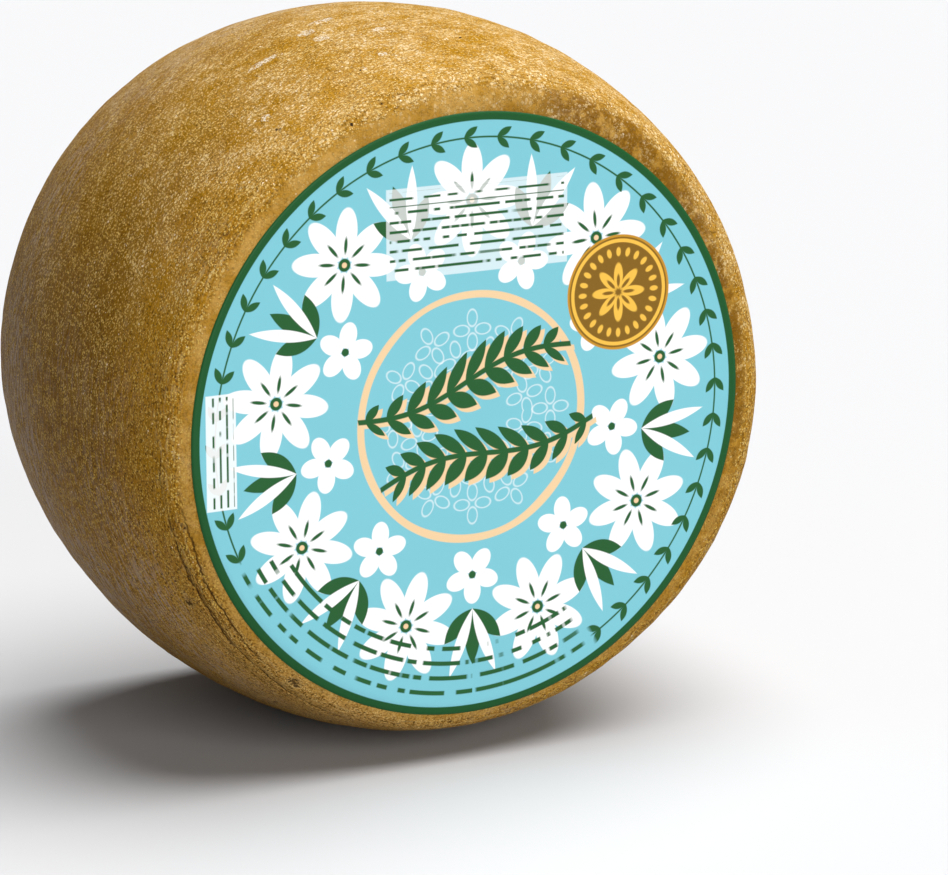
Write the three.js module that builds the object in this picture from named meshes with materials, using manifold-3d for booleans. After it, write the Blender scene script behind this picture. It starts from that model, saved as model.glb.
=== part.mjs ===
// A whole round of semi-hard cheese with a strongly bulging side. It stands on its rim, with its
// axis along Y, and carries one round paper label on the front face, which looks along -Y.
// Millimetres, +Z up. The origin is in the middle of the base of the whole part.
import * as THREE from "three";
import { mergeVertices } from "three/addons/utils/BufferGeometryUtils.js";
import Module from "manifold-3d";

const wasm = await Module();
wasm.setup();

// Driving dimensions of the cheese
const DIAMETER = 200; // across the fullest part of the rim
const THICKNESS = 118; // from face to face
const BULGE_RADIUS = 160; // of the arc that the side follows, as a section shows it
const SHOULDER_RADIUS = 9.5; // of the rounding between side and face
const FOOT_DEPTH = 0.9; // how far the rim is pressed flat where it stands

// Out of round: a wheel turned by hand swells and flattens by about half a millimetre.
// Each wave runs round the rim, with its first crest at an angle from the top towards +X.
const SWELLS = [
  { waves: 2, height: 0.51, crest: 131 },
  { waves: 3, height: 0.34, crest: 6 },
  { waves: 4, height: 0.51, crest: 18 },
  { waves: 5, height: 0.26, crest: 40 },
];

// Fold marks of the cloth that the wheel was pressed in, on the lower left of the front shoulder.
// from and to are angles round the wheel. back is the way from the end of the shoulder's rounding
// towards the back, and it changes by lean over the crease's length.
const CREASES = [
  { from: 203, to: 266, back: 3.6, lean: -3.8, depth: 0.55, width: 1.4 },
  { from: 224, to: 262, back: -2.2, lean: -3.2, depth: 0.4, width: 1.3 },
];

// Driving dimensions of the label
const LABEL_RADIUS = 82.8;
const LABEL_SHIFT = { x: -1.9, z: -2.5 }; // it was laid on a little out of centre
const PAPER = 0.3; // thickness of the paper with its glue
const PAPER_GAP = 0.3; // clear space between paper and rind

// How finely things are faceted
const SEGMENTS = 84; // round the axis
const SIDE_STEP = 6; // along the side
const CREASE_STEP = 1.3; // along the shoulder and side, where creases run
const CREASED_SIDE = 6.5; // how far the creases reach onto the side
const PLAIN_SHOULDER_STEPS = 5;
const LABEL_SEGMENTS = 72;
const LABEL_RINGS = [0.6, 0.93, 0.965, 1]; // as shares of the label's radius

const radians = THREE.MathUtils.degToRad;
const rimRadius = DIAMETER / 2;
const halfThickness = THICKNESS / 2;

// The circle that rounds the shoulder touches the flat face and, from inside, the side's arc.
const bulgeCentre = rimRadius - BULGE_RADIUS; // where the side's arc has its centre, from the axis
const shoulderDepth = halfThickness - SHOULDER_RADIUS;
const flatRadius = bulgeCentre + Math.sqrt((BULGE_RADIUS - SHOULDER_RADIUS) ** 2 - shoulderDepth ** 2);
const shoulderSlope = Math.atan2(shoulderDepth, flatRadius - bulgeCentre); // of the side where they meet
const shoulderTurn = Math.PI / 2 - shoulderSlope;
const shoulderLength = SHOULDER_RADIUS * shoulderTurn;
const sideLength = BULGE_RADIUS * shoulderSlope; // from a shoulder to the middle of the side

function swell(angle) {
  const waves = SWELLS.map((s) => s.height * Math.cos(s.waves * (angle - radians(s.crest))));
  return 1 + waves.reduce((sum, height) => sum + height, 0) / rimRadius;
}

function creaseDepth(angle, back) {
  const turned = THREE.MathUtils.euclideanModulo(angle, 2 * Math.PI);
  let depth = 0;
  for (const crease of CREASES) {
    const share = (turned - radians(crease.from)) / radians(crease.to - crease.from);
    if (share <= 0 || share >= 1) continue;
    const across = (back - crease.back - crease.lean * share) / crease.width;
    depth += crease.depth * Math.sin(Math.PI * share) * Math.exp(-across * across);
  }
  return depth;
}

function evenStops(from, to, step) {
  const count = Math.round((to - from) / step);
  return Array.from({ length: count }, (_, i) => from + ((to - from) * (i + 1)) / count);
}

// One point of the section. back counts from the end of the shoulder's rounding: it is negative on
// the shoulder and runs to sideLength in the middle of the side. y is the depth behind the face.
function sectionPoint(back) {
  if (back <= 0) {
    const turn = shoulderTurn + back / SHOULDER_RADIUS;
    return {
      r: flatRadius + SHOULDER_RADIUS * Math.sin(turn),
      y: SHOULDER_RADIUS * (1 - Math.cos(turn)),
      back,
    };
  }
  const slope = shoulderSlope - back / BULGE_RADIUS;
  return {
    r: bulgeCentre + BULGE_RADIUS * Math.cos(slope),
    y: halfThickness - BULGE_RADIUS * Math.sin(slope),
    back,
  };
}

// From the middle of a face, over its shoulder, to the fullest part of the side
function halfSection(stops) {
  const middle = { r: 0, y: 0, back: -Infinity };
  const halfway = { r: flatRadius / 2, y: 0, back: -Infinity };
  return [middle, halfway, ...[-shoulderLength, ...stops].map(sectionPoint)];
}

function wholeSection() {
  const front = halfSection([
    ...evenStops(-shoulderLength, CREASED_SIDE, CREASE_STEP),
    ...evenStops(CREASED_SIDE, sideLength, SIDE_STEP),
  ]);
  const back = halfSection([
    ...evenStops(-shoulderLength, 0, shoulderLength / PLAIN_SHOULDER_STEPS),
    ...evenStops(0, sideLength, SIDE_STEP),
  ]);
  const plain = { back: -Infinity }; // the creases stay on the front
  const mirrored = back.slice(0, -1).map((p) => ({ ...p, ...plain, y: THICKNESS - p.y }));
  return [...front, ...mirrored.reverse()];
}

// Points only move towards the axis or away from it, so both faces stay planes.
function cheeseGeometry() {
  const section = wholeSection();
  const profile = section.map((p) => new THREE.Vector2(p.r, p.y - halfThickness));
  const geometry = new THREE.LatheGeometry(profile, SEGMENTS);
  const position = geometry.attributes.position;
  for (let i = 0; i < position.count; i++) {
    const point = section[i % section.length];
    if (point.r === 0) continue;
    const angle = Math.atan2(position.getX(i), position.getZ(i));
    const r = point.r * swell(angle) - creaseDepth(angle, point.back);
    position.setX(i, r * Math.sin(angle));
    position.setZ(i, r * Math.cos(angle));
  }
  return geometry;
}

// How far the rind has fallen back behind the plane of the front face, at a place on that face
function fallenBack(x, z) {
  const past = Math.hypot(x, z) / swell(Math.atan2(x, z)) - flatRadius;
  if (past <= 0) return 0;
  return SHOULDER_RADIUS - Math.sqrt(SHOULDER_RADIUS ** 2 - past ** 2);
}

// One round sheet that follows the face and bends over the start of the shoulder
function labelGeometry() {
  const inner = -halfThickness - PAPER_GAP;
  const outer = inner - PAPER;
  const rings = LABEL_RINGS.map((share) => share * LABEL_RADIUS);
  const profile = [
    new THREE.Vector2(0, outer),
    ...rings.map((r) => new THREE.Vector2(r, outer)),
    ...rings.toReversed().map((r) => new THREE.Vector2(r, inner)),
    new THREE.Vector2(0, inner),
  ];
  const geometry = new THREE.LatheGeometry(profile, LABEL_SEGMENTS);
  geometry.translate(LABEL_SHIFT.x, 0, LABEL_SHIFT.z);
  const position = geometry.attributes.position;
  for (let i = 0; i < position.count; i++) {
    const fall = fallenBack(position.getX(i), position.getZ(i));
    position.setY(i, position.getY(i) + fall);
  }
  return geometry;
}

function toSolid(geometry) {
  const bare = new THREE.BufferGeometry();
  bare.setAttribute("position", geometry.attributes.position);
  bare.setIndex(geometry.index);
  const merged = mergeVertices(bare, 1e-3);
  const mesh = new wasm.Mesh({
    numProp: 3,
    vertProperties: merged.attributes.position.array,
    triVerts: new Uint32Array(merged.index.array),
  });
  return new wasm.Manifold(mesh);
}

function fromSolid(solid) {
  const mesh = solid.getMesh();
  const geometry = new THREE.BufferGeometry();
  geometry.setAttribute("position", new THREE.BufferAttribute(mesh.vertProperties, 3));
  geometry.setIndex(new THREE.BufferAttribute(mesh.triVerts, 1));
  geometry.computeVertexNormals();
  return geometry;
}

// The rim is cut level where it stands. The block that cuts it is larger than the wheel.
function standingCheese() {
  const below = new THREE.BoxGeometry(DIAMETER, 2 * THICKNESS, rimRadius);
  below.translate(0, 0, FOOT_DEPTH - rimRadius - rimRadius / 2);
  return fromSolid(toSolid(cheeseGeometry()).subtract(toSolid(below)));
}

function piece(name, geometry, material) {
  const mesh = new THREE.Mesh(geometry, material);
  mesh.name = name;
  return mesh;
}

const rind = new THREE.MeshStandardMaterial({ color: 0xb98a3e, roughness: 0.55, metalness: 0 });
const paper = new THREE.MeshStandardMaterial({ color: 0x8ad3e0, roughness: 0.5, metalness: 0 });

const wheel = new THREE.Group();
wheel.add(piece("cheese", standingCheese(), rind));
wheel.add(piece("label", labelGeometry(), paper));

// The origin goes to the middle of the base of the whole part's box.
const box = new THREE.Box3().setFromObject(wheel);
const middle = box.getCenter(new THREE.Vector3());
wheel.position.set(-middle.x, -middle.y, -box.min.z);

export default wheel;
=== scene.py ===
# %% [markdown]
# # A wheel of cheese with a paper label
# The real thing is a barrel-shaped round of sheep's milk cheese, about 200 mm across and 118 mm
# thick. It stands on its rim, and one of its two flat faces carries a round printed label.
#
# The wheel could be modelled anywhere and moved into place at the end. Here everything is built in
# the packed model's own frame instead: metres, +Z up, the wheel's axis along Y and the labelled face
# towards -Y. So both models can be laid over each other at any time, and nothing has to be moved.

# %% Load the packed model
import math
import random

import bpy
import numpy as np
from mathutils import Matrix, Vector, noise


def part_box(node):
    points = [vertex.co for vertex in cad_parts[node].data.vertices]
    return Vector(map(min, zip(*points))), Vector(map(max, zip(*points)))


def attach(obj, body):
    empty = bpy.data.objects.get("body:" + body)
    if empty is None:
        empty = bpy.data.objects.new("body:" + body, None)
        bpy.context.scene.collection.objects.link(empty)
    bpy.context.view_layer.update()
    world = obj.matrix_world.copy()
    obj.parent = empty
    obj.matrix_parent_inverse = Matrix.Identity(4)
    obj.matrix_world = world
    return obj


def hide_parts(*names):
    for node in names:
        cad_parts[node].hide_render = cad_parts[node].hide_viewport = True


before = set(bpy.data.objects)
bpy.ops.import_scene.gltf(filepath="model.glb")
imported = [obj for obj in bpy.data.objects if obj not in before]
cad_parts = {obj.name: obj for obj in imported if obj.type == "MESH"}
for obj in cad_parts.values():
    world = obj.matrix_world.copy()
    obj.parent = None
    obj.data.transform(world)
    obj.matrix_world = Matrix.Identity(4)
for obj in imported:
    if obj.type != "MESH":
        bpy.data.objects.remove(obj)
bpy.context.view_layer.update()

MM = 0.001


def in_mm(points):
    """Places in millimetres, rounded for printing."""
    return [tuple(round(c / MM, 1) for c in point) for point in points]


# %% [markdown]
# ## The form in numbers
# A section through the wheel is flat on its face, turns over a small round shoulder and then
# follows one wide arc to the other shoulder. It could be drawn by hand as a curve and spun round.
# Two circles say the same in fewer numbers, and the place where they touch follows from their radii.
# The thickness and the place of the axis come from the frame, so the rind fits the packed model.

# %% Driving sizes
RIM = 100 * MM  # radius at the fullest part
BULGE = 160 * MM  # radius of the side's arc
SHOULDER = 9.5 * MM  # radius of the rounding between face and side
FOOT = 0.9 * MM  # how far the rim is pressed flat where it stands
SWELLS = [(2, 0.51, 131), (3, 0.34, 6), (4, 0.51, 18), (5, 0.26, 40)]  # waves, height in mm, crest

cheese_low, cheese_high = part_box("cheese")
HALF = (cheese_high.y - cheese_low.y) / 2
bulge_centre = RIM - BULGE
shoulder_depth = HALF - SHOULDER
flat_radius = bulge_centre + math.sqrt((BULGE - SHOULDER) ** 2 - shoulder_depth**2)
shoulder_slope = math.atan2(shoulder_depth, flat_radius - bulge_centre)
shoulder_turn = math.pi / 2 - shoulder_slope
shoulder_length = SHOULDER * shoulder_turn
side_length = 2 * BULGE * shoulder_slope
print(f"flat face {2 * flat_radius / MM:.1f} mm across, side {side_length / MM:.1f} mm wide")

# %% [markdown]
# ## Out of round
# A wheel that is turned by hand while it ripens is never a true round. A sculpting brush could
# push it about, but a few slow waves round the rim are easier to measure and to match to the packed
# model, which has the same ones. The box round the packed cheese tells where the axis is.


# %% Swell and axis
def swell(angle):
    """How much the wheel is larger than its plain round at an angle from the top towards +X."""
    waves = [
        height * MM * np.cos(count * (angle - math.radians(crest)))
        for count, height, crest in SWELLS
    ]
    return 1 + sum(waves) / RIM


all_round = np.linspace(0, 2 * math.pi, 721)
reach_left = (RIM * swell(all_round) * np.sin(all_round)).min()
AXIS = Vector((cheese_low.x - reach_left, (cheese_low.y + cheese_high.y) / 2, RIM - FOOT))
print("axis at", in_mm([AXIS]))

# %% [markdown]
# ## The camera
# A long lens from about 1.25 m, a little above the wheel and to its left. The camera could be
# turned by hand until the picture looks right. Here its direction is fixed by two angles, and the
# place where the wheel's middle falls in the picture of 948 by 875 pixels tells how far the camera
# stands beside the line to the wheel. So no shift of the lens is needed.

# %% Camera
PICTURE = (948, 875)
FOCAL_PIXELS = 4473
WHEEL_PIXEL = (377.3, 363.2)
DISTANCE = 1.25
AZIMUTH, ELEVATION = math.radians(28.45), math.radians(14.05)
SENSOR_MM = 36

level = math.cos(ELEVATION)
towards_camera = Vector((-math.sin(AZIMUTH) * level, -math.cos(AZIMUTH) * level, math.sin(ELEVATION)))
right = Vector((math.cos(AZIMUTH), -math.sin(AZIMUTH), 0))
up = towards_camera.cross(right)
aside = (PICTURE[0] / 2 - WHEEL_PIXEL[0]) / FOCAL_PIXELS * DISTANCE
above = (WHEEL_PIXEL[1] - PICTURE[1] / 2) / FOCAL_PIXELS * DISTANCE

scene = bpy.context.scene
camera = bpy.data.objects.new("camera", bpy.data.cameras.new("camera"))
scene.collection.objects.link(camera)
camera.location = AXIS + DISTANCE * towards_camera + aside * right + above * up
camera.rotation_mode = "QUATERNION"
camera.rotation_quaternion = towards_camera.to_track_quat("Z", "Y")
camera.data.sensor_width = SENSOR_MM
camera.data.lens = FOCAL_PIXELS * SENSOR_MM / PICTURE[0]
bpy.context.scene.camera = camera
print(f"lens {camera.data.lens:.1f} mm, camera at", [round(c, 3) for c in camera.location])

# %% [markdown]
# ## Floor and light
# A plain pale floor, one broad soft light above and to the right, a weak one from the front, and
# a dim pale surrounding. Large lamps near the wheel would do too, but they light the floor unevenly.
# Suns that look wide in the sky are as soft and light everything alike. The wheel's left side
# stays in soft shade, as on the real one.

# %% Floor
FLOOR_REACH = 6.0
FLOOR_GREY = (0.45, 0.45, 0.455)
FLOOR_ROUGHNESS = 0.8
scene.view_settings.view_transform = "Standard"


def plain_material(name, colour, roughness):
    material = bpy.data.materials.new(name)
    material.use_nodes = True
    shader = material.node_tree.nodes["Principled BSDF"]
    shader.inputs["Base Color"].default_value = (*colour, 1)
    shader.inputs["Roughness"].default_value = roughness
    return material


def add_floor():
    mesh = bpy.data.meshes.new("floor")
    signs = [(-1, -1), (1, -1), (1, 1), (-1, 1)]
    corners = [(FLOOR_REACH * x, FLOOR_REACH * y, 0) for x, y in signs]
    mesh.from_pydata(corners, [], [(0, 1, 2, 3)])
    mesh.materials.append(plain_material("floor", FLOOR_GREY, FLOOR_ROUGHNESS))
    floor = bpy.data.objects.new("floor", mesh)
    scene.collection.objects.link(floor)


add_floor()
print("floor:", 2 * FLOOR_REACH, "m wide")


# %% Lights
def add_broad_light(name, direction, strength, spread):
    """A light so far away that floor and wheel get it evenly; spread is how wide it looks."""
    light = bpy.data.objects.new(name, bpy.data.lights.new(name, "SUN"))
    light.data.energy = strength
    light.data.angle = math.radians(spread)
    light.location = AXIS + Vector(direction)
    light.rotation_mode = "QUATERNION"
    light.rotation_quaternion = Vector(direction).to_track_quat("Z", "Y")
    scene.collection.objects.link(light)


def add_surrounding(colour, strength):
    world = bpy.data.worlds.new("surrounding")
    world.use_nodes = True
    background = world.node_tree.nodes["Background"]
    background.inputs["Color"].default_value = (*colour, 1)
    background.inputs["Strength"].default_value = strength
    scene.world = world


add_broad_light("key", direction=(0.33, -0.04, 1.0), strength=6.05, spread=60)
add_broad_light("front", direction=(0.0, -1.0, 0.29), strength=2.0, spread=40)
add_surrounding(colour=(0.93, 0.96, 1.0), strength=0.1)

# %% [markdown]
# ## The plain form
# The rind is one skin over the whole wheel. A Screw modifier could spin the section into such a
# shape, but then no point would know where it lies. So the section is worked out row by row, each
# row goes round the axis in columns, and numpy holds all points in one array.
#
# Places on the rind are given by an angle from the top towards +X, and by a way: the distance along
# the section from the end of the front shoulder's rounding, negative towards the label. Rows lie
# close together on the shoulder and just behind it, where the creases are.

# %% Section of the wheel
FACE_STEP = 2.2 * MM
SHOULDER_STEP = 0.6 * MM
CREASED_SIDE = 10 * MM
CREASED_STEP = 0.65 * MM
SIDE_ROWS = 36  # from there to the middle of the side


def half_section():
    """Rows from the face's middle to the side's: radius, depth, normal outward, normal in depth, way."""
    rows = []
    face_count = round(flat_radius / FACE_STEP)
    for i in range(1, face_count):
        r = flat_radius * i / face_count
        rows.append((r, -HALF, 0.0, -1.0, r - flat_radius - shoulder_length))
    count = round(shoulder_length / SHOULDER_STEP)
    for i in range(count):
        turn = shoulder_turn * i / count
        r = flat_radius + SHOULDER * math.sin(turn)
        y = -HALF + SHOULDER * (1 - math.cos(turn))
        rows.append((r, y, math.sin(turn), -math.cos(turn), SHOULDER * turn - shoulder_length))
    creased = np.arange(0, CREASED_SIDE, CREASED_STEP)
    smooth = np.linspace(CREASED_SIDE, side_length / 2, SIDE_ROWS)
    for way in [*creased, *smooth]:
        slope = shoulder_slope - way / BULGE
        r = bulge_centre + BULGE * math.cos(slope)
        rows.append((r, -BULGE * math.sin(slope), math.cos(slope), -math.sin(slope), way))
    return rows


front = half_section()
back = [(r, -y, out, -deep, side_length - way) for r, y, out, deep, way in front[:-1]]
section = np.array(front + back[::-1])
way = section[:, 4][:, None]
print(len(section), "rows")

# %% Points on the unmarked wheel
COLUMNS = 540
angles = np.arange(COLUMNS) * 2 * math.pi / COLUMNS
angle_degrees = np.degrees(angles)


def plain_points():
    """Places and normals of all points, as arrays of rows by columns by 3."""
    r, y, out, deep = (section[:, i][:, None] for i in range(4))
    radius = r * swell(angles)
    places = np.stack([radius * np.sin(angles), y + 0 * radius, radius * np.cos(angles)], axis=-1)
    normals = np.stack([out * np.sin(angles), deep + 0 * radius, out * np.cos(angles)], axis=-1)
    return places + np.array(AXIS), normals


places, normals = plain_points()
print(places.shape[0] * places.shape[1], "points")


# %% Helpers for what varies over the rind
def smooth_step(low, high, value):
    """0 below low, 1 above high and smooth between them."""
    share = np.clip((value - low) / (high - low), 0, 1)
    return share * share * (3 - 2 * share)


def noise_field(points, size, octaves=1):
    """Smooth noise between about -1 and 1 whose features are size metres wide."""
    flat = (points / size).reshape(-1, 3)
    if octaves == 1:
        values = [noise.noise(p) for p in flat.tolist()]
    else:
        values = [noise.fractal(p, 1.0, 2.0, octaves) for p in flat.tolist()]
    return np.array(values).reshape(points.shape[:-1])


def by_angle(table):
    """A number for every column, read between the entries of a table of angle: number."""
    return np.interp(angle_degrees, list(table), list(table.values()), period=360)


def along_round(angle, radius):
    """The way from an angle to every column, round a circle of that radius."""
    return np.radians((angle_degrees - angle + 180) % 360 - 180) * radius


print("the first column is", round(along_round(350, RIM / MM)[0], 1), "mm past 350 degrees")

# %% [markdown]
# ## The rind's relief
# Nothing on the rind is even. It undulates over a few centimetres, it is slightly lumpy, and on the
# lower left the pressing cloth has left fold marks. All of it could be left to a bump in the
# material, but then the outline would stay a perfect curve. So each is a height in metres over the
# plain form, worked out for every point, and the sum moves the point along its normal. Only grain
# finer than the mesh is left to the material. Under the label, lumps and marks fade out.

# %% Undulation and lumps
LABEL_RADIUS = 82.8 * MM
LABEL_MIDDLE = Vector((AXIS.x - 1.9 * MM, 0, AXIS.z - 2.5 * MM))
UNDULATION_HEIGHT, UNDULATION_SIZE = 0.22 * MM, 26 * MM
LUMP_HEIGHT, LUMP_SIZE = 0.16 * MM, 7 * MM


def undulation_at(points):
    """The slow rise and fall of the rind, which the label follows as well."""
    return UNDULATION_HEIGHT * noise_field(points, UNDULATION_SIZE)


undulation = undulation_at(places)
lumps = LUMP_HEIGHT * noise_field(places, LUMP_SIZE, octaves=2)
from_label = np.hypot(places[..., 0] - LABEL_MIDDLE.x, places[..., 2] - LABEL_MIDDLE.z)
past_label = smooth_step(LABEL_RADIUS - 3 * MM, LABEL_RADIUS + 0.5 * MM, from_label)
under_label = (places[..., 1] < AXIS.y) * (1 - past_label)
print(f"undulation {np.ptp(undulation) / MM:.2f} mm, lumps {np.ptp(lumps) / MM:.2f} mm")

# %% [markdown]
# ## Band and wrinkles
# Next to the label the rind was pressed against the mould's flat end: a smooth waxy band. Where it
# ends, the skin is gathered into fine wrinkles that run round the shoulder. The band's width changes
# round the wheel, and a table of angles and widths says that more exactly than noise would. The
# wrinkles follow no plan, so they are noise, stretched round the wheel and folded into ridges.

# %% Band and wrinkles
BAND_END = {  # angle from the top: way in mm
    0: -7.4, 28: -6.3, 41: -7.5, 51: -9.3, 65: -10.2, 95: -9.4, 140: -8.0, 180: -7.0,
    210: -5.5, 234: -5.0, 250: -5.6, 263: -5.8, 274: -6.6, 300: -7.5, 335: -8.2,
}
WRINKLE_SIZE = 1.5 * MM
WRINKLE_STRETCH = 3.2
WRINKLE_HEIGHT = 0.06 * MM

to_nearest_shoulder = np.where(way > side_length / 2, side_length - way, way)
past_band = to_nearest_shoulder - (by_angle(BAND_END) * MM + 1.6 * MM * noise_field(places, 9 * MM))
front_half = 1 - smooth_step(0.4 * side_length, 0.6 * side_length, way)
band = front_half * (1 - smooth_step(-1.2 * MM, 1.2 * MM, past_band))
wrinkles_start = smooth_step(-0.5 * MM, 1.5 * MM, past_band)
wrinkles_fade = smooth_step(3 * MM, 13 * MM, past_band)
wrinkled = wrinkles_start * (1 - 0.85 * wrinkles_fade)


def wrinkle_field():
    """Short ridges that run round the wheel."""
    x, z = places[..., 0] / WRINKLE_STRETCH, places[..., 2] / WRINKLE_STRETCH
    stretched = np.stack([x, to_nearest_shoulder + 0 * angles, z], axis=-1)
    return WRINKLE_HEIGHT * (1 - 2 * np.abs(noise_field(stretched, WRINKLE_SIZE)))


wrinkles = wrinkle_field() * wrinkled
print(f"wrinkles {np.ptp(wrinkles) / MM:.2f} mm high")

# %% [markdown]
# ## Creases and dents
# The cloth in which the curd was pressed lay in folds on the lower left. Each fold left a narrow
# groove that wanders a little, deepest in its middle. Round dents are where gas holes near the skin
# fell in. They could be cut into the mesh one by one. As heights they need no new points, and the
# material can read how far each point lies from a groove, to paint shade into its bottom.

# %% Creases
CREASES = [  # from angle, to angle, way in mm at its start, change, depth in mm, half width in mm
    (196, 268, 3.9, -4.3, 0.36, 0.8),
    (222, 262, -2.4, -3.0, 0.26, 0.7),
    (206, 240, 7.4, -1.0, 0.14, 0.7),
    (228, 250, 0.9, -1.2, 0.14, 0.6),
]
SLOW_WANDER_MM, QUICK_WANDER_MM = 0.35, 0.16
FAR_MM = 9.0  # stands for no crease near
OFFSET_LIMIT_MM = 4
FAINTEST_MM = 0.02  # a shallower crease isn't told to the material


def crease_lines():
    """For every point the offset in mm from the nearest crease, that crease's depth, and the groove."""
    nearest, depth_there = np.full(places.shape[:2], FAR_MM), np.zeros(places.shape[:2])
    groove = 0
    for start, end, at, change, depth, width in CREASES:
        share = np.clip((angle_degrees - start) / (end - start), 0, 1)
        slow_wander = SLOW_WANDER_MM * np.sin(angle_degrees * 0.41 + start)
        quick_wander = QUICK_WANDER_MM * np.sin(angle_degrees * 1.3 + end)
        offset = way / MM - (at + change * share + (slow_wander + quick_wander))
        strength = depth * np.sin(math.pi * share) ** 0.6 + 0 * offset
        groove = groove + strength * MM * np.exp(-((offset / width) ** 2))
        closer = (np.abs(offset) < np.abs(nearest)) & (strength > FAINTEST_MM)
        nearest = np.where(closer, offset, nearest)
        depth_there = np.where(closer, strength, depth_there)
    return np.clip(nearest, -OFFSET_LIMIT_MM, OFFSET_LIMIT_MM), depth_there, groove


crease_offset, crease_depth, creases = crease_lines()
print(f"deepest crease {creases.max() / MM:.2f} mm")

# %% Dents
DENTS = [  # angle, way in mm, radius in mm, depth in mm
    (218, -3.9, 1.5, 0.45),
    (216.6, -3.2, 1.1, 0.35),
    (230, 2.4, 1.2, 0.35),
    (239.5, 7.2, 1.2, 0.5),
    (229, 15.2, 1.1, 0.35),
    (255, -3.9, 1.1, 0.3),
    (247, 0.6, 1.2, 0.3),
]
DENT_CIRCLE_MM = 95  # radius of the rind where most dents lie
SMALL_DENTS = 90


def dent_field(angle, at, radius, depth):
    along = along_round(angle, DENT_CIRCLE_MM)
    across = way / MM - at
    return depth * MM * np.exp(-(along**2 + across**2) / radius**2)


def scattered_dents():
    draw = random.Random(11)
    for _ in range(SMALL_DENTS):
        angle = draw.uniform(0, 360)
        at = draw.uniform(-2, side_length / MM + 4)
        yield angle, at, draw.uniform(0.7, 1.3), draw.uniform(0.1, 0.3)


dents = sum(dent_field(*dent) for dent in [*DENTS, *scattered_dents()])
print(f"deepest dent {dents.max() / MM:.2f} mm")

# %% [markdown]
# ## Colour fields
# The rind's colour varies in ways that grain alone can't give. A few white scuffs lie near the top,
# there are some black specks, and the upper part is dry, mealy and paler, partly with painted light.
# Grey dust mixed with a painted sheen clings to the back of the side, painted shade darkens the left
# side, and painted light from the floor makes the rind paler near its foot. Such things could be
# painted by hand on a picture. Numbers at the mesh's points do the same without one: they are worked
# out here, stored on the mesh, and the material roughens their outlines.

# %% Scuffs and specks
SCUFFS = [  # angle, way in mm, length round the wheel, width
    (345.0, 44.1, 3.0, 2.6),
    (345.3, 36.3, 2.8, 2.6),
    (349.3, 49.5, 4.6, 2.2),
    (353.8, 31.1, 3.2, 1.7),
    (349.5, 15.4, 1.6, 1.5),
    (344.8, 11.3, 1.1, 1.2),
    (326.8, 14.8, 1.8, 1.6),
    (335.3, 38.7, 5.5, 1.8),
]
SPECKS = [(341.8, -4.8), (335.3, -6.0), (344.0, 11.6)]  # angle, way in mm
SPECK_SIZE = 0.7
SMALL_SPECKS = 12
SMALL_SPECK_SIZE = 0.6
RIM_MM = RIM / MM


def spot_field(angle, at, length, width):
    """1 in the middle of an oval spot, falling to 0 around it."""
    along = along_round(angle, RIM_MM) / length
    return np.exp(-(along**2) - ((way / MM - at) / width) ** 2)


def all_specks():
    for angle, at in SPECKS:
        yield angle, at, SPECK_SIZE, SPECK_SIZE
    draw = random.Random(5)
    for _ in range(SMALL_SPECKS):
        yield draw.uniform(0, 360), draw.uniform(-6, side_length / MM), SMALL_SPECK_SIZE, SMALL_SPECK_SIZE


scuffs = sum(spot_field(*scuff) for scuff in SCUFFS)
specks = sum(spot_field(*speck) for speck in all_specks())
print(len(SCUFFS), "scuffs and", len(SPECKS) + SMALL_SPECKS, "specks")

# %% Mealy bloom with painted light, dust with painted sheen, painted shade on the left, painted light by the foot, browned band
BROWNED = {0: 0.1, 10: 0.5, 20: 1, 95: 1, 125: 0.3, 160: 0, 345: 0}  # how brown the band is, by angle


def side_patch(angle, spread):
    """1 at an angle in degrees, falling to 0 to both sides of it."""
    return np.exp(-(((angle_degrees - angle) / spread) ** 2))


outward = np.clip(section[:, 0][:, None] / (0.7 * RIM), 0, 1)
# Paler where the rind faces up and browner where it faces down: partly a mealy bloom, partly painted
# light and painted shade.
facing_up = 0.5 + 0.5 * outward * np.cos(angles - math.radians(15))
bloom = np.clip(facing_up + 0.3 * noise_field(places, 24 * MM), 0, 1)

on_side = 1 - smooth_step(side_length - 6 * MM, side_length + 6 * MM, way)
low_left = side_patch(238, 30) * smooth_step(3 * MM, 20 * MM, way)
towards_back = smooth_step(50 * MM, 88 * MM, way) - 0.6 * smooth_step(80 * MM, 100 * MM, way)
# Grey dust with a painted sheen towards the back of the side and on the lower left.
dusty = towards_back + 0.8 * low_left + 0.3 * noise_field(places, 20 * MM)
dusty = np.clip(dusty, 0, 1) * on_side

# Painted shade: the rind is darker on its left side.
painted_left_shade = side_patch(280, 42) * smooth_step(2 * MM, 30 * MM, way) * on_side
# Painted light from the floor: the rind is paler near its foot.
painted_foot_light = side_patch(205, 32) * (1 - smooth_step(15 * MM, 45 * MM, way))
browned = band * by_angle(BROWNED)
print(f"mealy bloom on {100 * bloom.mean():.0f} per cent, dust on {100 * dusty.mean():.0f}")

# %% [markdown]
# ## The rind's mesh
# Rows and columns make a grid of quads that closes on itself all round, with a fan of triangles at
# each end. A subdivided cylinder would give the same faces, but here the points are known already,
# so the mesh is made straight from them. Points that would sink below the floor are lifted to it,
# which presses the foot flat.


# %% Mesh helpers
def grid_faces(rows, columns):
    """Quads between neighbouring rows, and a fan of triangles at each end's middle point."""
    faces = []
    for row in range(rows - 1):
        for i in range(columns):
            j = (i + 1) % columns
            a, b = row * columns, (row + 1) * columns
            faces.append((a + i, a + j, b + j, b + i))
    front, back, last = rows * columns, rows * columns + 1, (rows - 1) * columns
    for i in range(columns):
        j = (i + 1) % columns
        faces.append((front, j, i))
        faces.append((back, last + i, last + j))
    return faces


def make_object(name, points, faces):
    mesh = bpy.data.meshes.new(name)
    mesh.from_pydata(points.tolist(), [], faces)
    mesh.shade_smooth()
    piece = bpy.data.objects.new(name, mesh)
    scene.collection.objects.link(piece)
    return piece


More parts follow.
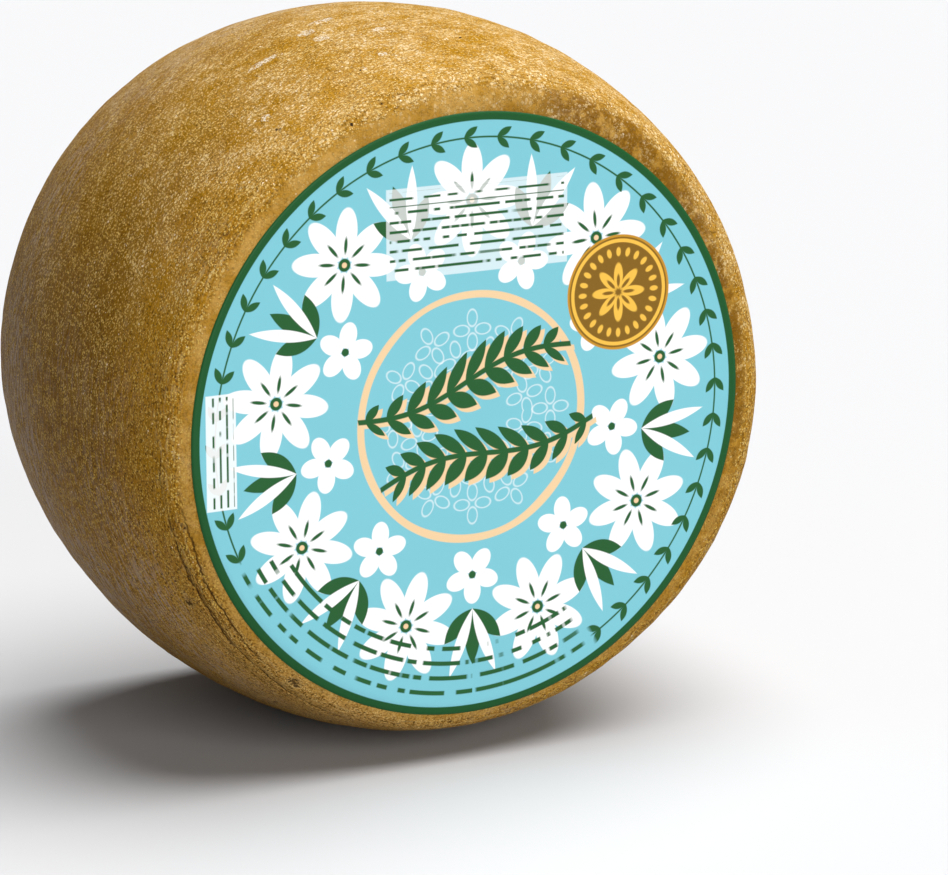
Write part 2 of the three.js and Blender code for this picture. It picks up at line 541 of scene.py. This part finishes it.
def store(piece, name, values):
    """Keeps one number a point on the mesh, for the material to read."""
    padded = np.zeros(len(piece.data.vertices), dtype=np.float32)
    padded[: values.size] = values.ravel()
    piece.data.attributes.new(name, "FLOAT", "POINT").data.foreach_set("value", padded)


print("a grid of 3 rows and 4 columns has", len(grid_faces(3, 4)), "faces")

# %% Cheese mesh
bare = 1 - under_label
height = undulation + bare * ((1 - 0.6 * band) * lumps + wrinkles - creases - dents)
surface = places + normals * height[..., None]
middles = [(AXIS.x, AXIS.y - HALF, AXIS.z), (AXIS.x, AXIS.y + HALF, AXIS.z)]
points = np.vstack([surface.reshape(-1, 3), middles])
points[:, 2] = np.maximum(points[:, 2], 0)
rind = make_object("rind", points, grid_faces(len(section), COLUMNS))
print("rind:", len(rind.data.polygons), "faces")

# %% Numbers for the rind's material
DEEP_DENT = 0.4 * MM
FIELDS = {
    "dented": np.clip(dents / DEEP_DENT, 0, 1),
    "crease_offset": crease_offset,
    "crease_depth": crease_depth,
    "way": np.broadcast_to(way, from_label.shape) / MM,
    "wrinkled": wrinkled,
    "band": band,
    "scuffed": np.clip(scuffs, 0, 1),
    "specked": np.clip(specks, 0, 1),
    "bloom": bloom,
    "dusty": dusty,
    "painted_foot_light": painted_foot_light,
    "browned": browned,
    "painted_left_shade": painted_left_shade,
}
for name, values in FIELDS.items():
    store(rind, name, values)
print("stored on the rind:", ", ".join(FIELDS))

# %% [markdown]
# ## The label's sheet
# Printed paper about 0.15 mm thick, glued on, so it follows the face's slow undulation and bends
# over the start of the shoulder on the lower left, where it was laid on a little off centre. A cloth
# simulation or a Shrinkwrap modifier could lay it on. The rind's form is a formula here, so the
# sheet simply asks it how deep the face lies under each of its points. It has a front, a cut edge
# and a back, so it is a closed body like the rind.

# %% Label mesh
LABEL_COLUMNS = 240
FLAT_RINGS = np.linspace(0.04, 0.9, 34)  # shares of the radius
BENT_RINGS = np.linspace(0.91, 1, 10)
LABEL_RINGS = np.concatenate([FLAT_RINGS, BENT_RINGS])
LIFT_FRONT, LIFT_BACK = 0.26 * MM, 0.06 * MM  # of the paper's two sides over the rind


def face_depth(x, z):
    """Depth of the unmarked rind at a place on the front face, in the frame."""
    dx, dz = x - AXIS.x, z - AXIS.z
    past = np.hypot(dx, dz) / swell(np.arctan2(dx, dz)) - flat_radius
    fall = SHOULDER - np.sqrt(SHOULDER**2 - np.clip(past, 0, SHOULDER) ** 2)
    return AXIS.y - HALF + fall


def over_face(r, turn, lift):
    """Points on a ring of the label, lifted off the undulating face."""
    x = LABEL_MIDDLE.x + r * np.sin(turn)
    z = LABEL_MIDDLE.z + r * np.cos(turn)
    points = np.stack([x, face_depth(x, z), z], axis=-1)
    points[:, 1] -= undulation_at(points) + lift
    return points


def label_mesh():
    turn = np.arange(LABEL_COLUMNS) * 2 * math.pi / LABEL_COLUMNS
    rings = LABEL_RINGS * LABEL_RADIUS
    layers = [(r, LIFT_FRONT) for r in rings] + [(r, LIFT_BACK) for r in rings[::-1]]
    grid = [over_face(r, turn, lift) for r, lift in layers]
    ends = [over_face(0, np.zeros(1), lift) for lift in (LIFT_FRONT, LIFT_BACK)]
    return make_object("label_sheet", np.vstack([*grid, *ends]), grid_faces(len(layers), LABEL_COLUMNS))


label = label_mesh()
print("label:", len(label.data.polygons), "faces")

# %% [markdown]
# ## The label's flat map
# A map lays a mesh out flat, so that its colours can be kept in a picture when the model leaves
# Blender. An automatic unwrap would cut the label into pieces and blur its print. A label is flat
# paper to begin with, so its map is too: the front is one large disc, the cut edge a thin ring
# round it, and the glued back, which never shows, a small disc in a corner.

# %% Flat map
MAP_NAME = "OFBake"
FRONT_SIZE, EDGE_SIZE, BACK_SIZE = 0.47, 0.478, 0.06  # radii, where the whole map is 1 wide
FRONT_MIDDLE, BACK_MIDDLE = 0.5, 0.07


def read_all(items, name):
    """One whole number for each item of a mesh."""
    numbers = np.zeros(len(items), dtype=np.int32)
    items.foreach_get(name, numbers)
    return numbers


def map_flat(sheet):
    mesh = sheet.data
    corners = read_all(mesh.loops, "vertex_index")
    sizes = read_all(mesh.polygons, "loop_total")
    count = len(LABEL_RINGS)
    radii = np.append(np.repeat([*LABEL_RINGS, *LABEL_RINGS[::-1]], LABEL_COLUMNS), [0, 0])
    turn = np.arange(len(radii)) % LABEL_COLUMNS * 2 * math.pi / LABEL_COLUMNS
    is_back = np.append(np.repeat([False, True], count * LABEL_COLUMNS), [False, True])
    face = np.repeat(np.arange(len(sizes)), sizes)
    on_edge = face // LABEL_COLUMNS == count - 1
    behind = is_back[corners]
    size = np.where(behind, np.where(on_edge, EDGE_SIZE, BACK_SIZE), FRONT_SIZE) * radii[corners]
    middle = np.where(behind & ~on_edge, BACK_MIDDLE, FRONT_MIDDLE)
    across = middle + size * np.sin(turn[corners])
    upward = middle + size * np.cos(turn[corners])
    flat = np.stack([across, upward], axis=-1)
    mesh.uv_layers.new(name=MAP_NAME).data.foreach_set("uv", flat.ravel())
    return flat


flat_map = map_flat(label)
print(f"the flat map reaches from {flat_map.min():.3f} to {flat_map.max():.3f}")

# %% [markdown]
# ## A small language for materials
# Blender's shader nodes are sums and products drawn as boxes. They could be placed and linked one
# by one, but a formula would soon be lost among them. One class wraps a node's output and lets
# Python write sums and products again. A second one holds a material and lays colour over colour.


# %% A value that varies over the surface
class Value:
    """A number that varies over the surface: one output socket of one material."""

    def __init__(self, finish, socket):
        self.finish, self.socket = finish, socket

    def sibling(self, output):
        """Another output of the same node."""
        return Value(self.finish, self.socket.node.outputs[output])

    def math(self, operation, *others, swap=False):
        terms = [*others, self] if swap else [self, *others]
        return self.finish.node("ShaderNodeMath", {"operation": operation}, dict(enumerate(terms)))

    def __add__(self, other):
        return self.math("ADD", other)

    def __sub__(self, other):
        return self.math("SUBTRACT", other)

    def __rsub__(self, other):
        return self.math("SUBTRACT", other, swap=True)

    def __mul__(self, other):
        return self.math("MULTIPLY", other)

    def __truediv__(self, other):
        return self.math("DIVIDE", other)

    def __rtruediv__(self, other):
        return self.math("DIVIDE", other, swap=True)

    def __pow__(self, other):
        return self.math("POWER", other)

    def __abs__(self):
        return self.math("ABSOLUTE")

    __radd__ = __add__
    __rmul__ = __mul__

    def sin(self):
        return self.math("SINE")

    def cos(self):
        return self.math("COSINE")

    def floor(self):
        return self.math("FLOOR")

    def fraction(self):
        return self.math("FRACT")

    def least(self, other):
        return self.math("MINIMUM", other)

    def most(self, other):
        return self.math("MAXIMUM", other)

    def clamped(self):
        return self.most(0.0).least(1.0)


def step(value, low, high):
    """0 below low, 1 above high and smooth between them."""
    share = ((value - low) / (high - low)).clamped()
    return share * share * (3 - 2 * share)


print("a value has:", ", ".join(name for name in vars(Value) if not name.startswith("_")))

# %% A finish
MIX_FIRST, MIX_SECOND, MIX_RESULT = 6, 7, 2  # the colour sockets of a Mix node


class Finish:
    """A material on one Principled shader, whose inputs are written with Values."""

    def __init__(self, name, ground, **settings):
        self.material = bpy.data.materials.new(name)
        self.material.use_nodes = True
        self.tree = self.material.node_tree
        self.shader = self.tree.nodes["Principled BSDF"]
        self.coat = ground
        for socket, number in settings.items():
            self.shader.inputs[socket.replace("_", " ")].default_value = number

    def node(self, kind, settings=None, inputs=None, output=0):
        """Adds a node: its settings are set first, then the values or links of its sockets."""
        made = self.tree.nodes.new(kind)
        for name, setting in (settings or {}).items():
            setattr(made, name, setting)
        for name, value in (inputs or {}).items():
            socket = made.inputs[name]
            if isinstance(value, Value):
                self.tree.links.new(value.socket, socket)
            else:
                socket.default_value = value
        return Value(self, made.outputs[output])

    def mix(self, share, first, second):
        """The colour first where share is 0 and second where it is 1."""
        colours = {"Factor": share, MIX_FIRST: self.colour(first), MIX_SECOND: self.colour(second)}
        return self.node("ShaderNodeMix", {"data_type": "RGBA"}, colours, output=MIX_RESULT)

    @staticmethod
    def colour(value):
        return value if isinstance(value, Value) else (*value, 1)

    def lay(self, share, colour):
        """Lays a colour over what is there so far. It covers where share is 1."""
        self.coat = self.mix(share, self.coat, colour)

    def feed(self, socket, value):
        self.tree.links.new(value.socket, self.shader.inputs[socket])

    def bump(self, millimetres):
        height = {"Height": millimetres, "Distance": MM, "Strength": 1.0}
        self.feed("Normal", self.node("ShaderNodeBump", {}, height))

    def count(self):
        return len(self.tree.nodes)


print("a finish has:", ", ".join(name for name in vars(Finish) if not name.startswith("_")))

# %% [markdown]
# ## The rind's finish
# An oiled ochre rind: fine grain, paler mealy patches, bright flecks on the grain's tips, dark
# pores, and a smooth waxy band next to the label. One noise from pale to dark would give a cloud
# and not a rind. So the finish is laid on like paint, from the deep colour up, and each
# layer's share is a formula of the stored numbers and of noise that is stretched round the wheel,
# as the real grain is. Gloss is low, since the oil has soaked in.

# %% Noise on the rind
OCHRE, LIGHT_OCHRE = (0.34, 0.163, 0.005), (0.38, 0.188, 0.008)
finish = Finish("oiled_rind", OCHRE, Roughness=0.5, Specular_IOR_Level=0.025)
place = finish.node("ShaderNodeTexCoord", output="Object")


def read(name):
    """One of the numbers stored on the rind."""
    return finish.node("ShaderNodeAttribute", {"attribute_name": name}, output="Fac")


def in_grains(size, stretch):
    """The place in grains size mm wide, stretch times longer round the wheel than along its axis."""
    scaled = {0: place, 1: (1 / (size * MM), stretch / (size * MM), 1 / (size * MM))}
    return finish.node("ShaderNodeVectorMath", {"operation": "MULTIPLY"}, scaled)


def grain(size, detail=2.0, roughness=0.55, stretch=1.4):
    """Noise between about 0.2 and 0.8 in grains size mm wide."""
    inputs = {"Vector": in_grains(size, stretch), "Scale": 1.0, "Detail": detail, "Roughness": roughness}
    return finish.node("ShaderNodeTexNoise", {}, inputs)


def streaks(size, stretch, detail=1.5):
    """Noise on the wheel unrolled: streaks size mm wide that run round it, also over the shoulder."""
    apart = finish.node("ShaderNodeSeparateXYZ", {}, {0: place})
    east, north = apart - AXIS.x, apart.sibling("Z") - AXIS.z
    reach = (east * east + north * north) ** 0.5 * (stretch * size / RIM_MM)
    unrolled = {0: east / reach, 1: read("way") / size, 2: north / reach}
    vector = finish.node("ShaderNodeCombineXYZ", {}, unrolled)
    return finish.node("ShaderNodeTexNoise", {}, {"Vector": vector, "Scale": 1.0, "Detail": detail})


fine = grain(0.7, roughness=0.6)
print("nodes so far:", finish.count())

# %% Flakes
RAGGEDNESS = 0.8  # how far the noise pushes a flake's outline
FULL_FLAKE = 0.55  # radius of the largest, as a share of its cell
FLAKE_EDGE = (-0.08, 0.12)  # from nothing to solid, as shares of the cell inside the outline


def flakes(size, stretch, plenty, growth=2.5):
    """Ragged flakes, at most one in each cell size mm wide. plenty is the share of cells with one,
    and growth how soon they are full-grown."""
    cells = in_grains(size, stretch)
    shove = finish.node(
        "ShaderNodeTexNoise", {}, {"Vector": cells, "Scale": 2.0, "Detail": 1.0}, output="Color"
    )
    ragged = {0: shove, 1: (RAGGEDNESS,) * 3, 2: cells}
    ragged = finish.node("ShaderNodeVectorMath", {"operation": "MULTIPLY_ADD"}, ragged)
    from_middle_of_cell = finish.node("ShaderNodeTexVoronoi", {}, {"Vector": ragged, "Scale": 1.0})
    chance = finish.node("ShaderNodeSeparateColor", {}, {0: from_middle_of_cell.sibling("Color")})
    reach = ((chance - (1 - plenty)) * growth).clamped() * FULL_FLAKE
    return step(reach - from_middle_of_cell, *FLAKE_EDGE)


pores = flakes(0.65, stretch=1.3, plenty=0.5)
print("nodes so far:", finish.count())

# %% [markdown]
# ### Ground
# The deep colour under everything: ochre with wide paler areas, mealy and paler on top, partly as
# painted light, browner in patches of painted shade lower down, darker with painted shade on the
# left side, and paler by the foot with painted light from the floor. These are soft and broad, so
# smooth noise of one to three centimetres is enough.

# %% Ground colour
MEALY_OCHRE, BROWNER = (0.52, 0.32, 0.1), (0.26, 0.112, 0.014)
LEFT_SHADE_BROWN, FOOT_LIGHT_OCHRE = (0.12, 0.054, 0.002), (0.57, 0.34, 0.11)
bloom = read("bloom")
painted_shade = 1 - bloom
painted_foot_light = read("painted_foot_light")
wide = step(grain(34.0), 0.35, 0.65)
mealy = step(grain(9.0, detail=4.0, roughness=0.65) + 0.08 * bloom, 0.4, 0.66)

finish.lay(wide, LIGHT_OCHRE)
# Painted light: the mealy colour is laid on mostly where the rind faces up.
finish.lay(0.55 * bloom * bloom * mealy, MEALY_OCHRE)
# Painted shade: browner patches where the rind faces down.
finish.lay(0.45 * painted_shade * step(grain(17.0, detail=3.0), 0.35, 0.6), BROWNER)
# Painted shade on the left side.
finish.lay(0.6 * read("painted_left_shade"), LEFT_SHADE_BROWN)
# Painted light from the floor near the foot.
finish.lay(0.6 * painted_foot_light, FOOT_LIGHT_OCHRE)
print("nodes so far:", finish.count())

# %% [markdown]
# ### Band and pores
# The pressed band is smooth and waxy, its colour paler partly as a painted sheen, lighter in places
# and browned on the upper right. Outside it, painted shade darkens the hollows of the grain, and the
# pores are dark. The same noise that gives the hollows their colour makes them deep later on, so
# light and colour agree.

# %% Band and pores
DARK_WAX, PALE_WAX_AND_SHEEN = (0.35, 0.18, 0.022), (0.45, 0.262, 0.065)
BROWNED_WAX = (0.17, 0.074, 0.004)
HOLLOW_SHADE_BROWN, PORE_BROWN = (0.12, 0.05, 0.003), (0.06, 0.024, 0.002)
smooth_band = read("band")
uneven = step(grain(6.0, detail=3.0, roughness=0.6, stretch=1.0), 0.38, 0.62)
bare_side = 1 - smooth_band * (0.9 - 0.4 * uneven)

# The band's paler wax is partly a painted sheen.
finish.lay(0.8 * smooth_band, finish.mix(uneven, DARK_WAX, PALE_WAX_AND_SHEEN))
finish.lay(0.9 * read("browned") * step(grain(3.5, detail=3.0, roughness=0.65), 0.34, 0.52), BROWNED_WAX)
# Painted shade: the grain's hollows are darkened, and hollows and pores more so where the rind faces
# down.
finish.lay((1 - 0.5 * bloom - 0.4 * smooth_band) * step(1 - fine, 0.4, 0.7), HOLLOW_SHADE_BROWN)
finish.lay((1 - 0.7 * bloom) * pores * (1 - 0.93 * smooth_band), PORE_BROWN)
print("nodes so far:", finish.count())

# %% [markdown]
# ### Wrinkles and flakes
# The gathered skin outside the band has pale ridges, partly a painted highlight, with painted shade
# in the lines between them. Over all the rest lie the tips of the grain, rubbed pale: countless tiny
# flakes, broader ones in the mealy parts and a few that are almost white, partly painted glints. Noise
# has no such crisp islands, so the flakes grow in the cells of a Voronoi pattern, and noise only
# frays their outlines.

# %% Wrinkles
RIDGE_HIGHLIGHT_OCHRE, GULLY_SHADE_BROWN = (0.44, 0.3, 0.11), (0.13, 0.055, 0.005)
wrinkly = read("wrinkled")
streaky = streaks(0.9, stretch=5.0)

# Painted highlight on the ridges and painted shade in the lines between them.
finish.lay(0.5 * wrinkly * step(streaky, 0.5, 0.7), RIDGE_HIGHLIGHT_OCHRE)
finish.lay(0.5 * wrinkly * step(1 - streaky, 0.55, 0.7), GULLY_SHADE_BROWN)
print("nodes so far:", finish.count())

# %% Flakes on the grain's tips
# Flakes are paler where the rind faces up and darker where it faces down: painted light and painted
# shade.
PALE, PALE_IN_LIGHT_AND_BLOOM, PALE_IN_FOOT_LIGHT = (0.6, 0.38, 0.06), (0.65, 0.46, 0.2), (0.7, 0.47, 0.19)
PALER, PALER_IN_LIGHT_AND_BLOOM, PALER_IN_FOOT_LIGHT = (0.66, 0.46, 0.12), (0.72, 0.56, 0.33), (0.76, 0.58, 0.31)
BRIGHT_AND_GLINT, BRIGHT_AND_GLINT_IN_LIGHT = (0.8, 0.63, 0.36), (0.86, 0.78, 0.62)
tiny = flakes(0.54, stretch=1.4, plenty=0.5 + 0.15 * mealy)
broad = flakes(1.1, stretch=2.0, plenty=0.08 + 0.5 * mealy * (0.25 + 0.75 * bloom))
# Almost white flakes, partly painted glints.
bright_and_glints = flakes(0.75, stretch=1.2, plenty=0.01 + 0.06 * mealy, growth=12)
# Near the foot the flakes are paler with painted light from the floor.
pale = finish.mix(0.7 * painted_foot_light, finish.mix(bloom * bloom, PALE, PALE_IN_LIGHT_AND_BLOOM), PALE_IN_FOOT_LIGHT)
paler = finish.mix(0.7 * painted_foot_light, finish.mix(bloom * bloom, PALER, PALER_IN_LIGHT_AND_BLOOM), PALER_IN_FOOT_LIGHT)

finish.lay(0.9 * tiny * bare_side, pale)
finish.lay(0.7 * broad * bare_side, paler)
finish.lay(0.9 * bright_and_glints * bare_side, finish.mix(bloom, BRIGHT_AND_GLINT, BRIGHT_AND_GLINT_IN_LIGHT))
print("nodes so far:", finish.count())

# %% [markdown]
# ### Dust with painted sheen, scuffs, and marks with painted shade
# Last come the traces of handling: grey dust in streaks round the side, mixed with a painted sheen,
# dry white scuffs, painted shade at the bottom of the creases and in pits with a paler torn rim, and a
# few black specks. Each is one of the stored numbers, multiplied by noise, so that its outline is torn
# and not airbrushed.

# %% Dust with painted sheen, and scuffs
DUST_AND_SHEEN_GREY, SCUFF_WHITE = (0.38, 0.325, 0.29), (0.72, 0.66, 0.55)
# Grey dust in streaks, partly a painted sheen.
dust = read("dusty") * step(streaks(0.7, stretch=6.0, detail=3.0), 0.42, 0.66) * (1 - 0.4 * bloom)
torn = step(grain(0.9, detail=3.0, roughness=0.7, stretch=2.2), 0.44, 0.58)
scuffed = step(read("scuffed") * (0.1 + torn), 0.42, 0.6)

finish.lay(0.65 * dust, DUST_AND_SHEEN_GREY)
finish.lay(0.9 * scuffed, SCUFF_WHITE)
print("nodes so far:", finish.count())

# %% Creases and pits with painted shade, and specks
TORN_RIM, CREASE_SHADE_DARK, SPECK_BLACK = (0.5, 0.34, 0.14), (0.045, 0.018, 0.004), (0.03, 0.016, 0.008)
wander = grain(2.0, roughness=0.6, stretch=1.0) - 0.5
crooked = abs(read("crease_offset") + 1.3 * wander)
broken = step(grain(5.0, roughness=0.6, stretch=1.0), 0.28, 0.5)
crease = (1 - step(crooked, 0.08, 0.4)) * (read("crease_depth") * 4.0).clamped() * broken
ragged = step(grain(0.9, detail=3.0, roughness=0.7, stretch=1.0), 0.35, 0.65)
dented = read("dented")
pit = step(dented * (0.3 + 1.2 * ragged), 0.4, 0.7)
marks = crease.most(pit)

finish.lay(0.5 * step(dented, 0.08, 0.3) * ragged, TORN_RIM)
# Painted shade at the bottom of the creases and in the pits.
finish.lay(0.9 * marks, CREASE_SHADE_DARK)
finish.lay(step(read("specked") * (0.5 + fine), 0.5, 0.62), SPECK_BLACK)
finish.feed("Base Color", finish.coat)
print("nodes so far:", finish.count())

# %% [markdown]
# ### Grain to the touch
# Grain finer than the mesh can't be modelled, and at this size it needn't be: a bump tilts the light
# on it. It uses the same grain, flakes, pores and wrinkles as the colour, so that a pale tip is also
# a raised one. Rough spots are a little duller than smooth ones.

# %% Gloss and relief
finish.feed("Roughness", 0.42 + 0.2 * fine)
tips = 0.5 * fine * (1 - 0.6 * smooth_band) + 0.12 * tiny
relief = tips - 0.15 * pores + 0.15 * wrinkly * streaky
finish.bump(relief - 0.35 * marks)
rind.data.materials.append(finish.material)
print("rind material:", finish.count(), "nodes")

# %% [markdown]
# ## The label's print
# Print is flat colour with crisp edges. A picture of it could be laid on the sheet, but it would
# blur close up. Here each motif is worked out from the label's own coordinates, u to the right and
# v up, with the label's radius as 1, so it stays sharp at any distance. A motif is told by its
# depth: how far inside its outline a place lies.

# %% Inks
PAPER_WHITE = 0.8  # how much light the paper gives back


def ink(red, green, blue):
    """A colour as a screen shows it, in the linear numbers that Blender mixes, on this paper."""
    parts = [c / 255 for c in (red, green, blue)]
    linear = [c / 12.92 if c <= 0.04045 else ((c + 0.055) / 1.055) ** 2.4 for c in parts]
    return [c * PAPER_WHITE for c in linear]


SKY, WHITE, CREAM = ink(128, 200, 213), ink(255, 255, 255), ink(242, 208, 162)
BORDER_GREEN, GREEN = ink(30, 86, 43), ink(41, 94, 50)
GOLD, DARK_GOLD, BRONZE = ink(248, 194, 78), ink(202, 146, 45), ink(134, 98, 32)
print("sky ground:", [round(c, 3) for c in SKY])

# %% Label coordinates
printed = Finish("printed_paper", SKY, Roughness=0.42, Specular_IOR_Level=0.1)
spot = printed.node("ShaderNodeTexCoord", output="Object")
spot = printed.node("ShaderNodeSeparateXYZ", {}, {0: spot})
u = (spot - LABEL_MIDDLE.x) / LABEL_RADIUS
v = (spot.sibling("Z") - LABEL_MIDDLE.z) / LABEL_RADIUS
SOFT_EDGE = 0.003  # how wide an edge of print fades


def shape(depth):
    """1 inside a shape and 0 outside."""
    return (depth / SOFT_EDGE + 0.5).clamped()


def distance(x, y):
    return (x * x + y * y) ** 0.5


def turns(x, y):
    """The angle of a place from the y axis, in turns."""
    return printed.node("ShaderNodeMath", {"operation": "ARCTAN2"}, {0: x, 1: y}) / (2 * math.pi)


from_middle = distance(u, v)
turn = turns(u, v) + 1
print("nodes so far:", printed.count())


# %% Motifs
def rotated(x, y, angle):
    """Coordinates on axes that are turned anticlockwise by an angle in degrees."""
    c, s = math.cos(math.radians(angle)), math.sin(math.radians(angle))
    return x * c + y * s, y * c - x * s


def around(count, radius, offset=0.0):
    """Coordinates in the nearest of count places on a ring: across it, and outward from its middle."""
    angle = ((turn * count + offset + 0.5).fraction() - 0.5) * (2 * math.pi / count)
    return from_middle * angle.sin(), from_middle * angle.cos() - radius


def leaf(x, y, length, width):
    """A pointed leaf along y, from the origin to length."""
    half = length / 2
    return width * (1 - ((y - half) / half) ** 2) - abs(x)


def petals(x, y, count, size, width, inner=0.12):
    """Rounded petals round the origin, from the share inner of size to size."""
    angle = turns(x, y) * count
    angle = ((angle + count + 0.5).fraction() - 0.5) * (2 * math.pi / count)
    reach = distance(x, y)
    along = (reach * angle.cos() - size * (1 + inner) / 2) / (size * (1 - inner) / 2)
    side = reach * angle.sin() / width
    return (1 - distance(along, side)) * width


def dot(x, y, radius):
    return radius - distance(x, y)


def stripe(value, middle, half_width):
    return half_width - abs(value - middle)


print("motifs: leaf, petals, dot and stripe")

# %% [markdown]
# ### Flowers and leaves
# Nine daisies go round the label, with a smaller blossom and a spray of leaves in each gap. They
# needn't be placed one by one: coordinates that start again in every ninth of a turn repeat one
# flower all round. A chain of leaves near the edge is made in the same way.

# %% Flower ring
FLOWERS = 9
x, y = around(FLOWERS, 0.715)
printed.lay(shape(petals(x, y, 8, size=0.185, width=0.038)), WHITE)
printed.lay(shape(petals(x, y, 8, size=0.09, width=0.006, inner=0.4)), GREEN)
printed.lay(shape(dot(x, y, 0.021)), GREEN)
printed.lay(shape(dot(x, y, 0.009)), CREAM)

x, y = around(FLOWERS, 0.53, offset=0.5)
printed.lay(shape(petals(x, y, 5, size=0.098, width=0.031)), WHITE)
printed.lay(shape(dot(x, y, 0.013)), GREEN)

x, y = around(FLOWERS, 0.645, offset=0.5)
for lean, length in [(0, 0.19), (-44, 0.15), (44, 0.15)]:
    printed.lay(shape(leaf(*rotated(x, y, lean), length, width=0.028)), GREEN)
for lean in (-21, 21):
    printed.lay(shape(leaf(*rotated(x, y, lean), length=0.24, width=0.02)), WHITE)
print(FLOWERS, "flowers")

# %% Leaf garland at the edge
LEAVES = 48
GARLAND_RADIUS = 0.918
PLAIN_ARC = (0.55, 0.132)  # where it stops at the foot: middle and half length, in turns

x, y = around(LEAVES, GARLAND_RADIUS)
leaf_pair = leaf(*rotated(x + 0.03, abs(y), -55), length=0.06, width=0.012)
garland = leaf_pair.most(stripe(from_middle, GARLAND_RADIUS, 0.003))
printed.lay(shape(garland) * shape(abs(turn.fraction() - PLAIN_ARC[0]) - PLAIN_ARC[1]), GREEN)
print(LEAVES, "leaves in the garland")

# %% [markdown]
# ### Middle
# A brushed cream ring round faint outlined flowers, with two waving sprays of leaves across it. The
# ring is a stripe whose middle and width follow a noise, as a loaded brush does. A spray repeats
# one pair of leaves along its stem, smaller towards both ends, and has a cream shadow.


# %% Brushed ring
def soft_noise(x, y, size, detail=1.0):
    """Noise between about 0.2 and 0.8 on a flat sheet, in blots size wide."""
    vector = printed.node("ShaderNodeCombineXYZ", {}, {0: x, 1: y})
    return printed.node("ShaderNodeTexNoise", {}, {"Vector": vector, "Scale": 1 / size, "Detail": detail})


brush = soft_noise(from_middle * 8, turn * 3, 0.5)
printed.lay(shape(stripe(from_middle + 0.02 * (brush - 0.5), 0.405, 0.016 * (0.35 + brush))), CREAM)
for radius, offset in [(0.29, 0.0), (0.2, 0.5)]:
    x, y = around(12, radius, offset)
    outline = petals(x, y, 4, size=0.07, width=0.02)
    printed.lay(0.5 * shape(stripe(outline, 0.002, 0.002)), WHITE)
print("nodes so far:", printed.count())

# %% Sprays
STEM_HALF_WIDTH, STEM_REACH = 0.009, 0.40
LEAF_GAP = 0.075  # from one pair of leaves to the next
LAST_LEAF = 0.37
SHADOW_SHIFT = 0.014


def spray(x, y):
    """A waving stem with pairs of leaves, along x."""
    y = y - 0.035 * (x * 7.5).sin()
    knot = (x / LEAF_GAP).floor()
    depth = (STEM_HALF_WIDTH - abs(y)).least(STEM_REACH - abs(x))
    for step_back in (0, 1):
        start = (knot - step_back) * LEAF_GAP
        size = 1.02 - 3.4 * (start + 0.02) * (start + 0.02)
        pair = leaf(*rotated((x - start) / size, abs(y) / size, -48), length=0.135, width=0.024)
        depth = depth.most(pair.least(LAST_LEAF - abs(start + 0.02)))
    return depth


def both_sprays(x, y):
    x, y = rotated(x, y, 12)
    return spray(x, y - 0.12).most(spray(0.03 - x, y + 0.135))


printed.lay(shape(both_sprays(u - SHADOW_SHIFT, v + SHADOW_SHIFT)), CREAM)
printed.lay(shape(both_sprays(u, v)), GREEN)
print("nodes so far:", printed.count())

# %% [markdown]
# ### Seal and panels
# A round gilt seal with a plain rosette lies on the upper right, and two pale panels and the lower
# edge carry rows of short bars. The seal is rings and petals again. The bars come from noise that
# is cut off hard, with another noise in each row, so no two rows are alike.

# %% Seal
SEAL = (0.544, 0.358)
x, y = u - SEAL[0], v - SEAL[1]
from_seal = distance(x, y)
printed.lay(shape(0.192 - from_seal), DARK_GOLD)
printed.lay(shape(0.184 - from_seal), BRONZE)
printed.lay(shape(stripe(from_seal, 0.172, 0.006)), GOLD)
printed.lay(shape(petals(x, y, 24, size=0.15, width=0.0085, inner=0.8)), GOLD)
printed.lay(shape(petals(x, y, 8, size=0.098, width=0.017)), GOLD)
printed.lay(shape(petals(x, y, 8, size=0.06, width=0.006, inner=0.3)), BRONZE)
print("seal at", SEAL)


# %% Panels with rows of bars
def bars(along, across, pitch, length=0.035):
    """Plain bars of uneven length in rows; pitch is the way from row to row."""
    row = (across / pitch).floor()
    depth = pitch * 0.15 - abs(across - (row + 0.5) * pitch)
    drawn = soft_noise(along / length, row * 5.3, 1.0, detail=0.0)
    return shape(depth) * shape((drawn - 0.42) * length)


def box_depth(left, right, low, high):
    across = (right - left) / 2 - abs(u - (left + right) / 2)
    return across.least((high - low) / 2 - abs(v - (low + high) / 2))


panel = box_depth(-0.31, 0.35, low=0.48, high=0.775)
inside = shape(panel - 0.012)
printed.lay(0.55 * shape(panel), WHITE)
printed.lay(inside * bars(u, v, pitch=0.031) * shape(0.712 - v), GREEN)
printed.lay(inside * bars(u, v, pitch=0.026, length=0.05) * shape(v - 0.722), GREEN)
printed.lay(inside * shape(stripe(v, 0.717, 0.0018)), GREEN)

side_panel = box_depth(-0.95, -0.845, low=-0.2, high=0.176)
printed.lay(0.8 * shape(side_panel.least(0.972 - from_middle)), WHITE)
printed.lay(shape(side_panel - 0.008) * bars(v, u, pitch=0.024), GREEN)

lower_arc = shape(0.125 - abs(turn.fraction() - PLAIN_ARC[0])) * shape(stripe(from_middle, 0.845, 0.1))
printed.lay(lower_arc * bars(turn * 5.3, from_middle, pitch=0.05, length=0.04), GREEN)
print("nodes so far:", printed.count())

# %% [markdown]
# ### Border
# The green border is the last layer, so it cuts off cleanly whatever comes near the edge. It runs
# over the cut edge of the paper as well. The paper is coated, so it is a little glossier than the
# rind.

# %% Border and paper
BORDER_START = 0.9725
printed.lay(shape(from_middle - BORDER_START), BORDER_GREEN)
printed.feed("Base Color", printed.coat)
label.data.materials.append(printed.material)
print("print material:", printed.count(), "nodes")

# %% [markdown]
# ## Hand over
# Each piece rides on the part's one body and replaces its CAD node.

# %% Hand over
for piece, node, slot in [(rind, "cheese", "rind"), (label, "label", "paper")]:
    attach(piece, "root")
    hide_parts(node)
